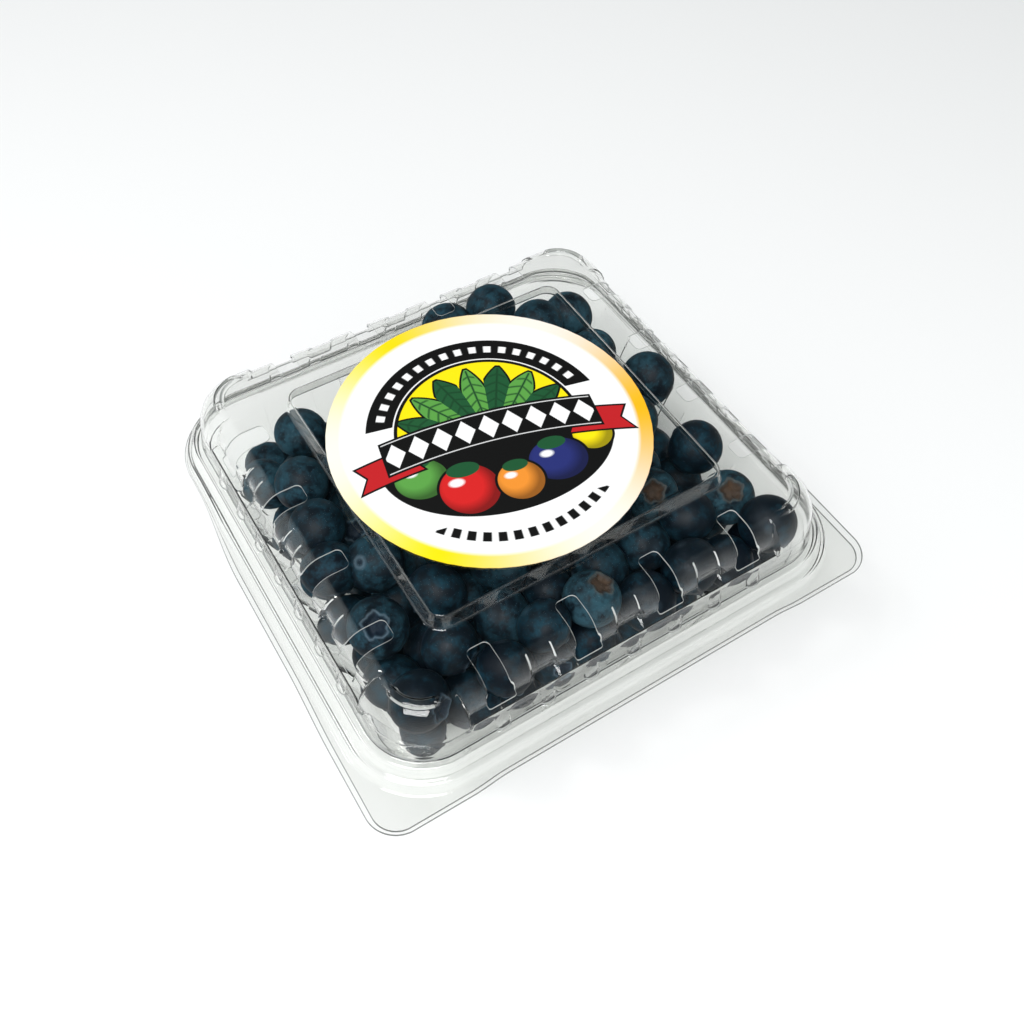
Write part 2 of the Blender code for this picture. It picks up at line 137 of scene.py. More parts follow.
# ---- node trees ---------------------------------------------------------------------------------
class Value:
    """An output socket; arithmetic on it adds Math nodes to its finish."""

    def __init__(self, finish, socket):
        self.finish = finish
        self.socket = socket

    def math(self, operation, first, second=0.0, clamp=False):
        return self.finish.add(
            "Math", {"operation": operation, "use_clamp": clamp}, {0: first, 1: second}
        )

    def __add__(self, other):
        return self.math("ADD", self, other)

    def __radd__(self, other):
        return self.math("ADD", other, self)

    def __sub__(self, other):
        return self.math("SUBTRACT", self, other)

    def __rsub__(self, other):
        return self.math("SUBTRACT", other, self)

    def __mul__(self, other):
        return self.math("MULTIPLY", self, other)

    def __rmul__(self, other):
        return self.math("MULTIPLY", other, self)

    def __truediv__(self, other):
        return self.math("DIVIDE", self, other)

    def __rtruediv__(self, other):
        return self.math("DIVIDE", other, self)

    def __pow__(self, other):
        return self.math("POWER", self, other)

    def __abs__(self):
        return self.math("ABSOLUTE", self)

    def least(self, other):
        return self.math("MINIMUM", self, other)

    def most(self, other):
        return self.math("MAXIMUM", self, other)

    def clamped(self):
        return self.math("ADD", self, 0.0, clamp=True)

    def cosine(self):
        return self.math("COSINE", self)

    def edge(self, softness=0.12):
        """1 where this distance is inside a shape, 0 outside, with a fine soft edge."""
        return self.math("ADD", self * (1 / softness), 0.5, clamp=True)


class Finish:
    """A material or world as a node tree, made through one method."""

    def __init__(self, name, owner=None):
        self.made = owner or bpy.data.materials.new(name)
        self.made.use_nodes = True
        self.tree = self.made.node_tree
        self.tree.nodes.clear()

    def add(self, kind, settings=None, sockets=None, output=0):
        node = self.tree.nodes.new("ShaderNode" + kind)
        for key, value in (settings or {}).items():
            if key == "stops":
                while len(node.color_ramp.elements) < len(value):
                    node.color_ramp.elements.new(0.5)
                for element, (place, colour) in zip(node.color_ramp.elements, value):
                    element.position = place
                    element.color = (*colour, 1.0)
            else:
                setattr(node, key, value)
        for key, value in (sockets or {}).items():
            if isinstance(value, Value):
                self.tree.links.new(value.socket, node.inputs[key])
            elif isinstance(value, tuple) and len(value) == 3 and node.inputs[key].type == "RGBA":
                node.inputs[key].default_value = (*value, 1.0)
            else:
                node.inputs[key].default_value = value
        return Value(self, node.outputs[output]) if node.outputs else None

    def mix(self, share, first, second):
        return self.add("Mix", {"data_type": "RGBA"}, {0: share, 6: first, 7: second}, 2)

    def noise(self, scale, detail=2.0, roughness=0.5, where=None):
        sockets = {"Scale": scale, "Detail": detail, "Roughness": roughness}
        if where is not None:
            sockets["Vector"] = where
        return self.add("TexNoise", {}, sockets)

    def attribute(self, name):
        return self.add("Attribute", {"attribute_name": name}, {}, "Fac")

    def place(self):
        return self.add("TexCoord", {}, {}, "Object")

    def done(self, surface):
        self.add("OutputMaterial", {}, {"Surface": surface})
        return self.made


# ---- meshes -------------------------------------------------------------------------------------
def mesh_object(name, points, faces, finishes, smooth_under=None, which=None):
    """Object from points in millimetres and faces, smooth where faces meet under an angle.

    which gives each face's place in the list of finishes."""
    data = bpy.data.meshes.new(name)
    data.from_pydata([tuple(point) for point in np.asarray(points) * MM], [], faces)
    for finish in finishes:
        data.materials.append(finish)
    if which is not None:
        data.polygons.foreach_set("material_index", np.array(which, dtype=np.int32))
    data.update()
    shade(data, smooth_under)
    made = bpy.data.objects.new(name, data)
    bpy.context.scene.collection.objects.link(made)
    return made


def shade(data, smooth_under):
    if smooth_under is None:
        return
    data.polygons.foreach_set("use_smooth", np.ones(len(data.polygons), bool))
    data.set_sharp_from_angle(angle=math.radians(smooth_under))


def cut(target, cutter, smooth_under):
    """Cuts a hidden helper from a piece and keeps the result as the piece's own mesh."""
    step = target.modifiers.new("cut", "BOOLEAN")
    step.operation = "DIFFERENCE"
    step.solver = "MANIFOLD"
    step.object = cutter
    graph = bpy.context.evaluated_depsgraph_get()
    result = bpy.data.meshes.new_from_object(target.evaluated_get(graph))
    target.modifiers.clear()
    old = target.data
    target.data = result
    result.name = target.name
    bpy.data.meshes.remove(old)
    bpy.data.objects.remove(cutter, do_unlink=True)
    shade(result, smooth_under)


def prism_cutter(outlines, low, high):
    """One helper of upright prisms, each from an outline of (x, y) points in millimetres."""
    points = []
    faces = []
    for outline in outlines:
        base = len(points)
        count = len(outline)
        points += [(x, y, low) for x, y in outline] + [(x, y, high) for x, y in outline]
        faces.append([base + i for i in range(count)][::-1])
        faces.append([base + count + i for i in range(count)])
        for i in range(count):
            j = (i + 1) % count
            faces.append([base + i, base + j, base + count + j, base + count + i])
    return mesh_object("cutter", points, faces, [None, None], None, [1] * len(faces))


def rounded_outline(half_x, half_y, radius, steps=5):
    """Rectangle with rounded corners, anticlockwise round the origin."""
    found = []
    for quarter, (sx, sy) in enumerate(((1, 1), (-1, 1), (-1, -1), (1, -1))):
        for i in range(steps + 1):
            turn = math.pi / 2 * (quarter + i / steps)
            found.append(
                (
                    sx * (half_x - radius) + radius * math.cos(turn),
                    sy * (half_y - radius) + radius * math.sin(turn),
                )
            )
    return found


# ---- outline of the pack ------------------------------------------------------------------------
def side_places(centre, pitch, half, nub_pitch, spacing):
    """Places along one side, close together where the wall steps or a nub stands out."""
    places = list(np.arange(-centre, centre + 0.01, 2 * centre / round(2 * centre / spacing)))
    for k in (-1.5, -0.5, 0.5, 1.5):
        for sign in (-1, 1):
            start = k * pitch + sign * half
            places += [start + sign * STEP_RUN * share for share in (-0.15, 0.1, 0.35, 0.65, 0.9, 1.15)]
    if nub_pitch:
        for k in range(-3, 4):
            places += [k * nub_pitch + NUB_LENGTH / 2 * at for at in (-1.05, -0.96, -0.8, -0.5, 0, 0.5, 0.8, 0.96, 1.05)]
    kept = []
    for place in sorted(places):
        if abs(place) <= centre and (not kept or place - kept[-1] > 0.13):
            kept.append(place)
    return kept


class Outline:
    """Every column of a formed sheet round the pack, with the kind of wall that it has."""

    def __init__(self, half, nubs, spacing, corner_steps):
        side, along, turn = [], [], []
        for s in range(4):
            centre = CORNER_CENTRE if s % 2 == 0 else CORNER_CENTRE - DEPTH_LESS
            pitch = SLOT_PITCH_X if s % 2 == 0 else SLOT_PITCH_Y
            nub_pitch = (NUB_PITCH_X if s % 2 == 0 else NUB_PITCH_Y) if nubs else 0
            for place in side_places(centre, pitch, half, nub_pitch, spacing):
                side.append(s)
                along.append(place)
                turn.append(0.0)
            for i in range(1, corner_steps):
                side.append(s)
                along.append(centre)
                turn.append(i / corner_steps)
        self.side = np.array(side)
        self.along = np.array(along)
        self.turn = np.array(turn)
        across = self.side % 2 == 0
        self.full = np.where(across, CORNER_CENTRE, CORNER_CENTRE - DEPTH_LESS)
        pitch = np.where(across, SLOT_PITCH_X, SLOT_PITCH_Y)
        reach = np.abs(self.along)
        self.corner = ease((reach - (1.5 * pitch + half)) / STEP_RUN)
        near = np.minimum(np.abs(reach - 0.5 * pitch), np.abs(reach - 1.5 * pitch))
        pad = 1 - ease((near - half) / STEP_RUN)
        self.pad = np.where(reach > 1.5 * pitch, 1.0, pad)
        nub_pitch = np.where(across, NUB_PITCH_X, NUB_PITCH_Y)
        from_nub = self.along - nub_pitch * np.clip(np.round(self.along / nub_pitch), -3, 3)
        if nubs:
            self.nub = np.sqrt(np.clip(1 - (from_nub / (NUB_LENGTH / 2)) ** 2, 0, 1)) * (self.turn == 0)
        else:
            self.nub = np.zeros(len(self.along))

    def at(self, reach, centre_x=CORNER_CENTRE, centre_y=CORNER_CENTRE - DEPTH_LESS, less=DEPTH_LESS):
        """Plan position of every column when the wall stands this far out from the centre."""
        reach = np.broadcast_to(reach, self.along.shape)
        reach_y = reach - less
        scale = np.where(self.side % 2 == 0, centre_x, centre_y) / self.full
        a = self.along * scale
        straight_x = np.select([self.side == 0, self.side == 1, self.side == 2], [a, reach, -a], -reach)
        straight_y = np.select([self.side == 0, self.side == 1, self.side == 2], [-reach_y, a, reach_y], -a)
        angle = np.radians(-90 + 90 * self.side + 90 * self.turn)
        sx = np.where(np.isin(self.side, (0, 1)), 1, -1)
        sy = np.where(np.isin(self.side, (0, 3)), -1, 1)
        round_x = sx * centre_x + (reach - centre_x) * np.cos(angle)
        round_y = sy * centre_y + (reach_y - centre_y) * np.sin(angle)
        straight = self.turn == 0
        return np.where(straight, straight_x, round_x), np.where(straight, straight_y, round_y)

    def drawn_in(self, inset):
        """Outer edge of a flange from the centre: drawn in to the hinge at the back."""
        y = self.at(FLANGE_EDGE)[1]
        share = np.where(np.isin(self.side, (1, 3)) & (self.turn == 0), ease((y - 8.0) / 28.0), 0.0)
        share = np.where((self.side == 2) | ((self.turn > 0) & (self.side == 1)), 1.0, share)
        return FLANGE_EDGE - (FLANGE_EDGE - HINGE_EDGE) * share - inset * (1 - 0.7 * share)

    def kept_inside(self, reach, inset, start):
        """A reach near the flange, drawn in where the flange is."""
        room = np.minimum(1.0, (self.drawn_in(inset) - 0.3 - start) / (FLANGE_START + 0.6 - start))
        return np.where(reach > start, start + (reach - start) * room, reach)

    def flange(self, inset, corner_radius):
        """Outer edge of a flange, with square tabs at the two front corners."""
        x, y = self.at(self.drawn_in(inset))
        tabbed = (self.turn > 0) & np.isin(self.side, (0, 3))
        angle = np.radians(-90 + 90 * self.side + 90 * self.turn)
        sx = np.where(self.side == 0, 1, -1)
        out = FLANGE_EDGE - inset + TAB_REACH - corner_radius
        tab_x = sx * out + corner_radius * np.cos(angle)
        tab_y = -(out - DEPTH_LESS) + corner_radius * np.sin(angle)
        sides = (self.turn == 0) & np.isin(self.side, (1, 3))
        side_x = x + np.sign(x) * TAB_REACH * ease((-y - 18.0) / 20.0)
        front = (self.turn == 0) & (self.side == 0)
        front_y = y - TAB_REACH * ease((np.abs(x) - 34.0) / 9.0)
        found_x = np.select([tabbed, sides], [tab_x, side_x], x)
        found_y = np.select([tabbed, front], [tab_y, front_y], y)
        return found_x, found_y


def softened(corners, radii, steps):
    """A line through corner points with its bends rounded, always with the same number of points."""
    points = [np.array(corners[0], float)]
    for i in range(1, len(corners) - 1):
        before, here, after = (np.array(corners[i + k], float) for k in (-1, 0, 1))
        into = (here - before) / np.linalg.norm(here - before)
        out = (after - here) / np.linalg.norm(after - here)
        bend = math.acos(float(np.clip(into @ out, -1, 1)))
        back_off = radii[i - 1] * math.tan(bend / 2)
        back_off = min(back_off, 0.48 * np.linalg.norm(here - before), 0.48 * np.linalg.norm(after - here))
        start, end = here - into * back_off, here + out * back_off
        for k in range(steps[i - 1] + 1):
            share = k / steps[i - 1]
            points.append(
                (1 - share) ** 2 * start + 2 * share * (1 - share) * here + share**2 * end
            )
    points.append(np.array(corners[-1], float))
    return np.array(points)


def sheet_object(name, upper, thickness, finishes, close_first, close_last, smooth_under, lined):
    """Closed thin sheet from rows of points, the second face a thickness below the first.

    close_first and close_last say whether the first and last rows end in a centre point or in
    the sheet's cut edge. finishes are the sheet's, its slots' edges' and its rim's, the last two grey as
    painted highlight and painted shade; lined holds which of them every face of the rows has."""
    rows, columns = upper.shape[:2]
    around = np.roll(upper, -1, axis=1) - np.roll(upper, 1, axis=1)
    outward = np.gradient(upper, axis=0)
    normal = np.cross(outward, around)
    normal /= np.linalg.norm(normal, axis=2, keepdims=True) + 1e-12
    inwards = np.abs(upper[0]).max() > np.abs(upper[-1]).max()
    if inwards:
        normal = -normal
    lower = upper - normal * thickness
    points = np.concatenate([upper.reshape(-1, 3), lower.reshape(-1, 3)])
    under = rows * columns
    index = np.arange(under).reshape(rows, columns)
    a, b = index[:-1], np.roll(index[:-1], -1, axis=1)
    c, d = np.roll(index[1:], -1, axis=1), index[1:]
    top = np.stack([a, d, c, b], axis=-1).reshape(-1, 4)
    bottom = top[:, ::-1] + under
    faces = np.concatenate([top, bottom]).tolist()
    which = np.concatenate([lined.reshape(-1)] * 2).tolist()
    extra = []
    for row, closed, order in ((0, close_first, 1), (rows - 1, close_last, -1)):
        here = index[row].tolist()
        following = here[1:] + here[:1]
        if closed:
            middle = upper[row].mean(axis=0)
            extra += [middle, middle - (0, 0, thickness)]
            tip = len(points) + len(extra) - 2
            for p, q in zip(here, following):
                faces.append([tip, p, q][::order])
                faces.append([tip + 1, q + under, p + under][::order])
                which += [0, 0]
        else:
            for p, q in zip(here, following):
                faces.append([p, q, q + under, p + under][::order])
                # the cut edge gets the rim's dark grey finish: a painted dark outline
                which.append(2)
    if inwards:
        faces = [face[::-1] for face in faces]
    points = np.concatenate([points, np.array(extra).reshape(-1, 3)])
    points[:, 1] += CENTRE_Y
    return mesh_object(name, points, faces, finishes, smooth_under, which)


# ---- lid ----------------------------------------------------------------------------------------
def lid_profile(kind):
    """(reach, drop) of the lid's upper face from the flat top outwards, for one kind of wall."""
    radius = {0: RECESS_ROUND, 1: PAD_ROUND, 2: CORNER_ROUND}[kind]
    points = [(SHOULDER_START - 2.0, PANEL_RISE)]
    even = np.linspace(90, 0, 27)
    for i in range(27):
        turn = math.radians(CORNER_ROWS[i] if kind == 2 else even[i])
        points.append(
            (
                SHOULDER_START + radius * math.cos(turn),
                PANEL_RISE + radius - radius * math.sin(turn),
            )
        )
    foot = SHOULDER_START + radius
    if kind == 2:
        bend = [points[-1], (RING_TOP + 0.13, RING_TOP_DROP + 0.9), (RING_TOP + 0.2, RING_TOP_DROP + 1.2)]
    else:
        bend = [points[-1], (foot, LEDGE_DROP - 0.2), (RING_TOP, RING_TOP_DROP)]
    rest = bend + [
        (RING_FOOT, RING_FOOT_DROP),
        (RING_FOOT + 1.6, RING_FOOT_DROP + 0.15),
        (RING_FOOT + 2.8, RING_FOOT_DROP + 2.6),
        (RING_FOOT + 3.9, RING_FOOT_DROP + 2.8),
        (FLANGE_START, FLANGE_DROP - 0.05),
        (FLANGE_START + 0.6, FLANGE_DROP),
    ]
    line = softened(rest, (0.5, 0.35, 0.55, 0.6, 0.6, 0.6, 0.5), (3, 3, 3, 3, 3, 3, 3))
    line = with_between(line, 1.3)
    return np.concatenate([np.array(points), line[1:]])


def with_between(line, _):
    """Adds a point in the middle of each long straight run on the ring wall, for its nubs."""
    found = []
    for i, point in enumerate(line[:-1]):
        found.append(point)
        if i in (8,):
            for share in (0.2, 0.4, 0.6, 0.8):
                found.append(point + (line[i + 1] - point) * share)
    found.append(line[-1])
    return np.array(found)


def crescent_height(x, y):
    """Height of the raised crescent on each corner at these places."""
    cx, cy = CORNER_CENTRE, CORNER_CENTRE - DEPTH_LESS
    dx, dy = np.abs(x) - cx, np.abs(y) - cy
    turn = np.clip(np.arctan2(dy, dx), math.radians(9), math.radians(81))
    near = np.hypot(dx - CRESCENT_RADIUS * np.cos(turn), dy - CRESCENT_RADIUS * np.sin(turn))
    return CRESCENT_HEIGHT * ease((CRESCENT_HALF + 0.12 - near) / 0.42)


def build_lid(finishes):
    outline = Outline(PAD_HALF, True, 1.4, 26)
    nest_x, nest_y = PANEL_HALF_X - PANEL_CORNER, PANEL_HALF_Y - PANEL_CORNER
    less = PANEL_HALF_X - PANEL_HALF_Y
    panel = softened(
        [(-2.4, 0.0), (0.0, 0.0), (PANEL_DRAFT, PANEL_RISE), (5.0, PANEL_RISE)], (0.8, 0.7), (5, 5)
    )
    rows = []
    for grow, drop in panel:
        x, y = outline.at(PANEL_HALF_X + grow, nest_x, nest_y, less)
        rows.append(np.stack([x, y, np.full_like(x, z_of(drop))], axis=1))
    line = [lid_profile(kind) for kind in (0, 1, 2)]
    wall = RING_FOOT_DROP - RING_TOP_DROP
    rises = []
    for i in range(len(line[0])):
        side = line[0][i][:, None] * (1 - outline.pad) + line[1][i][:, None] * outline.pad
        reach, drop = side * (1 - outline.corner) + line[2][i][:, None] * outline.corner
        down = np.clip((drop - RING_TOP_DROP) / wall, 0, 1)
        on_wall = ease((down - 0.42) / 0.25) * (drop < RING_FOOT_DROP + 0.05)
        reach = reach + NUB_PROUD * outline.nub * on_wall
        x, y = outline.at(outline.kept_inside(reach, 0.15, RING_FOOT + 3.2))
        z = z_of(drop)
        rise = crescent_height(x, y) * (drop < LEDGE_DROP + 1.5)
        rises.append(rise)
        lean = np.clip((reach - SHOULDER_START) / 7.5, 0, 1)
        out_x, out_y = np.abs(x) - CORNER_CENTRE, np.abs(y) - CORNER_CENTRE + DEPTH_LESS
        size = np.hypot(out_x, out_y) + 1e-9
        x = x + np.sign(x) * rise * lean * np.clip(out_x / size, 0, 1)
        y = y + np.sign(y) * rise * lean * np.clip(out_y / size, 0, 1)
        z = z + rise * np.sqrt(1 - lean * lean * 0.98)
        rows.append(np.stack([x, y, z], axis=1))
    inner = rows[-1]
    edges = []
    for inset in (0.15 + PAINTED_RIM_LINE, 0.15):
        x, y = outline.flange(inset, TAB_CORNER)
        edges.append(np.stack([x, y, np.full_like(x, z_of(FLANGE_DROP))], axis=1))
    rows += [inner * 0.5 + edges[0] * 0.5, *edges]
    lined = np.zeros((len(rows) - 1, len(outline.along)), int)
    # the band along the flange's cut edge gets the dark grey finish: a painted dark outline
    lined[-1] = 2
    for i, rise in enumerate(rises):
        # painted highlight: the crescent's flank gets the light grey edge finish as a thin line
        level = (rise + np.roll(rise, -1)) / (2 * CRESCENT_HEIGHT)
        lined[len(panel) + i][(level > 0.30) & (level < 0.72) & (np.abs(outline.turn - 0.5) < 0.36)] = 1
    # painted highlight too on the steps between the slots' pads, and painted shade as a fine grey line along the foot
    # of the ring wall
    step = (outline.pad + np.roll(outline.pad, -1)) / 2
    on_step = (np.abs(step - 0.5) < 0.12) & (np.abs(outline.pad - np.roll(outline.pad, -1)) > 0.1)
    lined[len(panel) + 9 : len(panel) + 20, on_step & (outline.corner == 0)] = 1
    lined[len(panel) + 40] = 3
    lid = sheet_object("lid_film", np.array(rows), FILM, finishes, True, False, 42, lined)
    cut(lid, prism_cutter(slot_outlines(), z_of(13.0), z_of(PANEL_RISE - 1.2)), 42)
    return lid


def slot_outlines():
    """The vent slots from above: round inner corners, and small ears where they end in the ledge."""
    right = []
    for turn in range(0, 91, 15):
        angle = math.radians(turn)
        right.append((SLOT_HALF - 1.3 + 1.3 * math.sin(angle), SLOT_INNER + 1.3 - 1.3 * math.cos(angle)))
    right += [
        (SLOT_HALF, 51.2),
        (SLOT_HALF + 0.15, 51.8),
        (SLOT_HALF + 0.6, 52.1),
        (SLOT_HALF + 0.7, 52.5),
        (SLOT_HALF + 0.6, 53.2),
        (SLOT_HALF + 0.2, SLOT_OUTER),
    ]
    shape = right + [(-a, s) for a, s in right[::-1]]
    found = []
    for k in (-1.5, -0.5, 0.5, 1.5):
        ax, ay = k * SLOT_PITCH_X, k * SLOT_PITCH_Y
        front = [(ax + a, -(s - DEPTH_LESS)) for a, s in shape]
        back = [(ax - a, s - DEPTH_LESS) for a, s in shape]
        right_side = [(s, ay + a) for a, s in shape]
        left_side = [(-s, ay - a) for a, s in shape]
        for loop in (front, back, right_side, left_side):
            loop = [(x, y + CENTRE_Y) for x, y in loop]
            area = sum(p[0] * q[1] - q[0] * p[1] for p, q in zip(loop, loop[1:] + loop[:1]))
            found.append(loop if area > 0 else loop[::-1])
    return found


# ---- tub ----------------------------------------------------------------------------------------
def tub_profile(kind):
    """(reach, height) of the tub's upper face from the flange in over the bead and down the wall."""
    pleat = TUB_PLEAT if kind == 1 else 0.0
    corner = 0.35 if kind == 2 else 0.0
    under = TUB_UNDER_LID
    corners = [
        (FLANGE_START + 0.2, z_of(FLANGE_DROP + under)),
        (FLANGE_START - 0.75, z_of(FLANGE_DROP + under - 0.05)),
        (RING_FOOT + 3.25, z_of(RING_FOOT_DROP + 2.8 + under)),
        (RING_FOOT + 2.15, z_of(RING_FOOT_DROP + 2.6 + under)),
        (RING_FOOT + 1.0, z_of(RING_FOOT_DROP + 0.25 + under)),
        (RING_FOOT - 0.7, z_of(RING_FOOT_DROP + 0.3 + under)),
        (TUB_WALL_TOP + corner, z_of(RING_FOOT_DROP + 1.6 + under)),
        (TUB_WALL_TOP - 1.7 + pleat + corner, z_of(RING_FOOT_DROP + 4.6 + under)),
        (TUB_WALL_FOOT + pleat + corner, z_of(FLOOR_THICK_DROP)),
        (FLOOR_EDGE - 1.4 + 0.4 * pleat, FILM + 0.05),
        (FLOOR_EDGE - 6.0, FILM + 0.05),
    ]
    return softened(
        corners, (0.5, 0.6, 0.6, 0.6, 0.6, 1.0, 2.0, 3.5, 3.0), (3, 3, 3, 3, 3, 3, 3, 5, 5)
    )


def build_tub(finishes):
    outline = Outline(TUB_PAD_HALF, False, 2.2, 20)
    flange_z = z_of(FLANGE_DROP + TUB_UNDER_LID)
    rows = []
    for inset in (TUB_INSET, TUB_INSET + PAINTED_RIM_LINE):
        x, y = outline.flange(inset, TAB_CORNER - 1.4)
        rows.append(np.stack([x, y, np.full_like(x, flange_z)], axis=1))
    line = [tub_profile(kind) for kind in (0, 1, 2)]
    for i in range(len(line[0])):
        side = line[0][i][:, None] * (1 - outline.pad) + line[1][i][:, None] * outline.pad
        reach, height = side * (1 - outline.corner) + line[2][i][:, None] * outline.corner
        x, y = outline.at(outline.kept_inside(reach, TUB_INSET, RING_FOOT + 2.8))
        rows.append(np.stack([x, y, height], axis=1))
        if i == 0:
            rows.insert(2, rows[-1] * 0.5 + rows[1] * 0.5)
    floor = softened(
        [(FLOOR_PANEL + 4.0, 0.0), (FLOOR_PANEL + 1.0, 0.0), (FLOOR_PANEL, FLOOR_PANEL_RISE), (20.0, FLOOR_PANEL_RISE)],
        (0.6, 0.6),
        (3, 3),
    )
    for reach, rise in floor:
        x, y = outline.at(reach, reach - 4.0, reach - 4.0 - DEPTH_LESS)
        rows.append(np.stack([x, y, np.full_like(x, FILM + 0.05 + rise)], axis=1))
    lined = np.zeros((len(rows) - 1, len(outline.along)), int)
    # the band along the flange's cut edge gets the dark grey finish: a painted dark outline
    lined[0] = 2
    tub = sheet_object("tub_film", np.array(rows), FILM, finishes, False, True, 42, lined)
    vents = []
    for sx in (-1, 1):
        for sy in (-1, 1):
            vents.append([(sx * 14.0 + a, sy * 12.0 + CENTRE_Y + b) for a, b in rounded_outline(7.0, 2.0, 1.9)])
    cut(tub, prism_cutter(vents, -3.0, 6.0), 42)
    return tub


# ---- clear sheet --------------------------------------------------------------------------------
def clear_sheet(name, tint):
    """Thin clear formed plastic: faint tint, slow waves in its faces, light passes to what is under."""
    finish = Finish(name)
    wave = finish.noise(34.0, 0.0, 0.4, finish.place())
    bump = finish.add("Bump", {}, {"Strength": 0.4, "Distance": 0.00006, "Height": wave})
    sheet = finish.add(
        "BsdfPrincipled",
        {},
        {"Base Color": tint, "Roughness": 0.02, "IOR": 1.44, "Transmission Weight": 1.0, "Normal": bump},
    )
    passing = finish.add("BsdfTransparent", {}, {"Color": (0.975, 0.98, 0.973)})
    ray = finish.add("LightPath", {}, {}, "Is Shadow Ray")
    soft = finish.add("LightPath", {}, {}, "Is Diffuse Ray")
    return finish.done(finish.add("MixShader", {}, {0: ray.most(soft), 1: sheet, 2: passing}))


def painted_edge_line(name, grey):
    """Opaque grey for the sheet's cut edges and fine lines, greyer than its faces: painted highlight and painted shade
    for the light that the clear sheet bends there.
    """
    finish = Finish(name)
    edge = finish.add(
        "BsdfPrincipled", {}, {"Base Color": (grey, grey * 1.03, grey * 1.01), "Roughness": 0.25, "IOR": 1.5}
    )
    return finish.done(edge)


# ---- label --------------------------------------------------------------------------------------
def label_print():
    """White paper with a gold rim and a made-up crest: leaves, a black ribbon and round fruit."""
    finish = Finish("label_print")
    where = finish.place()
    x = finish.add("SeparateXYZ", {}, {0: where}, 0) * 1000 - LABEL_X
    y = finish.add("SeparateXYZ", {}, {0: where}, 1) * 1000 - (LABEL_Y + CENTRE_Y)
    c, s = math.cos(LABEL_TURN), math.sin(LABEL_TURN)
    u = x * c - y * s
    v = x * s + y * c

    def far(across, up):
        return (across * across + up * up) ** 0.5

    def disc(at_u, at_v, radius, wide=1.0):
        return radius - far((u - at_u) * (1 / wide), v - at_v)

    def angle(up, across):
        return up.math("ARCTAN2", up, across)

    black, white = (0.003, 0.003, 0.003), (0.90, 0.90, 0.90)
    yellow = (0.92, 0.74, 0.004)
    gold = finish.mix((u * 0.02 + 0.45).clamped(), (0.94, 0.74, 0.003), (0.95, 0.47, 0.008))
    dark_green, light_green = (0.012, 0.085, 0.030), (0.10, 0.33, 0.06)
    colour = white

    def lay(inside, paint):
        nonlocal colour
        colour = finish.mix(inside, colour, paint)

    out = far(u, v)
    turn = angle(v, u)
    # rim, stronger and paler in turn round the label
    strength = (0.58 + (turn * 3 + 0.3).cosine() * 0.42).clamped()
    lay((out - 32.6).edge(1.0) * strength, gold)
    # short dashes along the lower edge, dots along the upper one
    dashes = ((turn * 56).cosine() + 0.25).edge(0.5) * (1.15 - abs(out - 28.3)).edge()
    lay(dashes * (0 - v - 22.0).edge(), black)
    lay((2.9 - abs(out - 24.2)).edge() * (v - 7.0).edge(), black)
    dots = ((turn * 44).cosine() - 0.05).edge(0.6) * (0.95 - abs(out - 24.2)).edge()
    lay(dots * (v - 9.0).edge(), white)
    # upper half: a yellow field with a fan of leaves
    upper = (v + 1.0).edge()
    lay((21.0 - out).edge() * upper, black)
    lay((20.2 - out).edge() * upper, yellow)
    fan_v = v + 3.0
    reach = far(u, fan_v)
    step = math.radians(20.0)
    fan = angle(fan_v, u) / step
    leaf = fan.math("FLOOR", fan)
    within = fan - leaf - 0.5
    across = abs(within) * step * reach
    long = ((reach - 5.0) / 17.0).clamped()
    width = long * (1 - long) * (13.0 + (leaf * 2.4).cosine() * 2.0)
    body = (width - across).least(v + 1.0).least(21.5 - reach)
    lay((body + 0.55).edge(), black)
    tint = finish.mix(((leaf * 3.1).cosine() * 0.5 + 0.5).clamped(), dark_green, light_green)
    lay(body.edge(), tint)
    veins = (0.22 - across).most(((reach * 2.6 + abs(within) * 7).cosine() - 0.82) * 0.5)
    lay(veins.edge(0.3) * (body - 0.3).edge(), (0.008, 0.05, 0.018))
    # round fruit under the ribbon
    lay(disc(0, -5.0, 17.5, 1.5).edge() * (0 - v - 2.0).edge(), black)
    for at_u, at_v, radius, wide, paint in (
        (-18.0, -8.5, 5.2, 1.1, light_green),
        (21.0, -7.5, 4.4, 1.0, yellow),
        (11.5, -12.0, 5.6, 1.15, (0.020, 0.028, 0.16)),
        (-9.0, -14.0, 6.4, 1.0, (0.62, 0.016, 0.016)),
        (2.0, -15.0, 5.0, 1.0, (0.80, 0.27, 0.03)),
    ):
        shape = disc(at_u, at_v, radius, wide)
        lay((shape + 0.6).edge(), black)
        lay(shape.edge(), paint)
        shade = (0 - disc(at_u - 1.2, at_v + 1.0, radius - 0.9, wide)).edge(2.5) * shape.edge()
        lay(shade * 0.65, black)
        lay(disc(at_u - 0.35 * radius, at_v + 0.35 * radius, 0.16 * radius, 1.6).edge(0.5), white)
        cap = disc(at_u, at_v + 0.82 * radius, 0.30 * radius, 1.9)
        lay(cap.edge(), dark_green)
    # ribbon with folded tails and a row of white lozenges
    bow = v - 1.0 + u * u * 0.0042
    for side in (-1, 1):
        tail = (3.3 - abs(bow + 2.6)).least(5.0 - abs(u - side * 23.6) + abs(bow + 2.6) * 0.6)
        lay((tail + 0.5).edge(), black)
        lay(tail.edge(), (0.50, 0.014, 0.018))
    band = (4.7 - abs(bow)).least(24.5 - abs(u))
    lay(band.edge(), black)
    pitch = 5.4
    place = u / pitch + 0.5
    mark = (u - (place.math("FLOOR", place)) * pitch)
    lozenge = 1 - abs(mark) * (1 / 2.35) - abs(bow) * (1 / 3.3)
    lay(lozenge.edge(0.08) * (band - 0.8).edge(), white)
    lay((0.10 - abs(abs(bow) - 4.0)).edge(0.2) * (24.0 - abs(u)).edge(), white)
    paper = finish.add(
        "BsdfPrincipled", {}, {"Base Color": colour, "Roughness": 0.5, "Specular IOR Level": 0.25}
    )
    return finish.done(paper)


